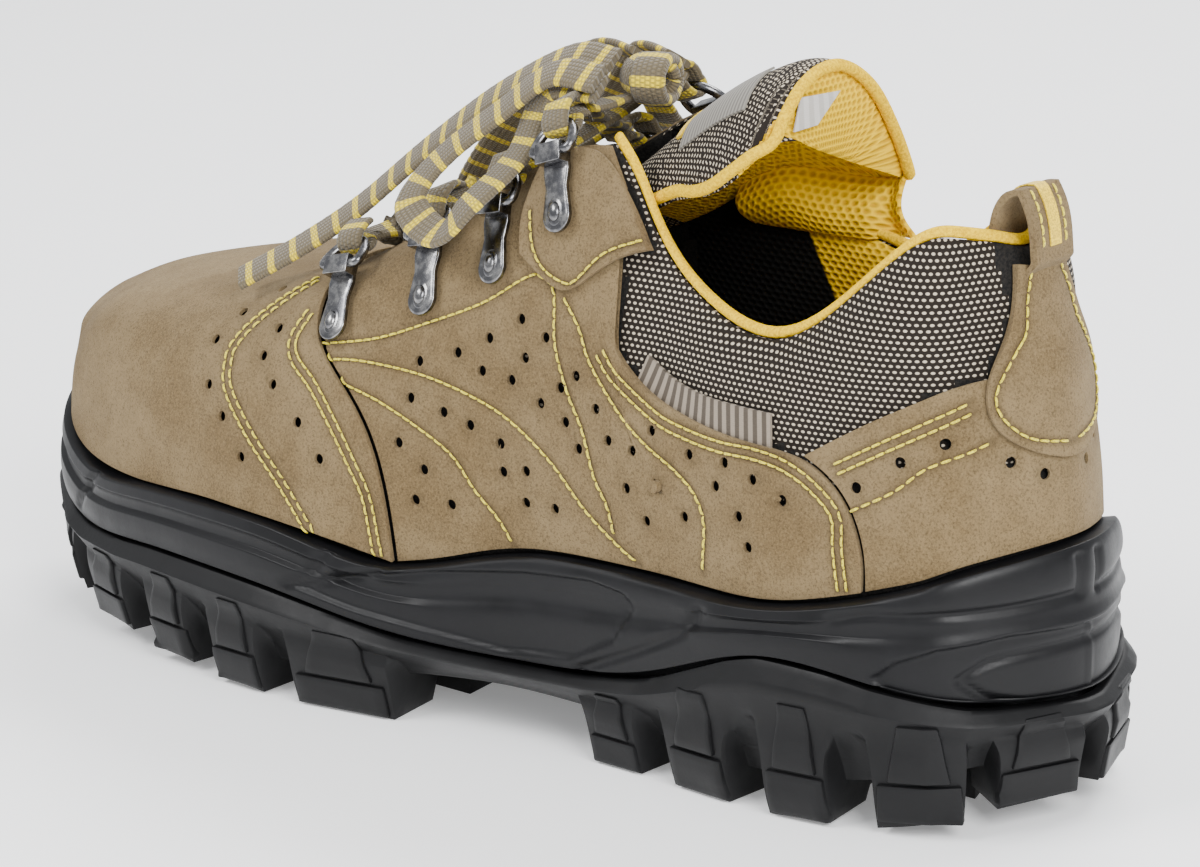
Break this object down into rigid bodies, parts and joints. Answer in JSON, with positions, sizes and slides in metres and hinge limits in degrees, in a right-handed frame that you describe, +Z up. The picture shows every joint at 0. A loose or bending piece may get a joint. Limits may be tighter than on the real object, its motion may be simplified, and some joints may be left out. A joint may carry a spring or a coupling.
{
  "type": "safety shoe",
  "caption": "Low lace-up safety shoe for the left foot in perforated suede, with padded mesh collar, tongue, lace rings and a two-part lugged sole.",
  "frame": {"origin": "middle of the bottom of the box round the shoe without its loose laces, on the floor it stands on", "axes": "+X towards the heel, -X towards the toe, -Y the outer side of the foot, +Z up"},
  "size_m": [0.3, 0.1123, 0.1503],
  "materials": {
    "suede": "taupe-beige nubuck suede with yellow stitching",
    "mesh": "black padded mesh with small cream dots, golden knit lining",
    "rubber": "black satin moulded rubber",
    "foam": "black satin moulded midsole",
    "footbed": "black footbed",
    "yellow": "golden yellow woven piping",
    "lace": "flat woven lace with yellow cross stripes",
    "steel": "dark nickel plate"
  },
  "bodies": {
    "root": {"outsole": "rubber", "midsole": "foam", "insole": "footbed", "upper": "mesh", "vamp": "suede", "quarter_lateral": "suede", "quarter_medial": "suede", "facing_lateral": "suede", "facing_medial": "suede", "counter": "suede", "heel_patch": "suede", "collar_piping": "yellow", "pull_loop": "suede", "tongue": "mesh", "lace_plate_lateral_1": "steel", "lace_ring_lateral_1": "steel", "lace_plate_lateral_2": "steel", "lace_ring_lateral_2": "steel", "lace_plate_lateral_3": "steel", "lace_ring_lateral_3": "steel", "lace_plate_lateral_4": "steel", "lace_ring_lateral_4": "steel", "lace_plate_medial_1": "steel", "lace_ring_medial_1": "steel", "lace_plate_medial_2": "steel", "lace_ring_medial_2": "steel", "lace_plate_medial_3": "steel", "lace_ring_medial_3": "steel", "lace_plate_medial_4": "steel", "lace_ring_medial_4": "steel", "lacing": "lace", "lace_knot": "lace", "lace_loop_lateral": "lace", "lace_end_lateral": "lace", "lace_loop_medial": "lace", "lace_end_medial": "lace"}
  },
  "joints": []
}
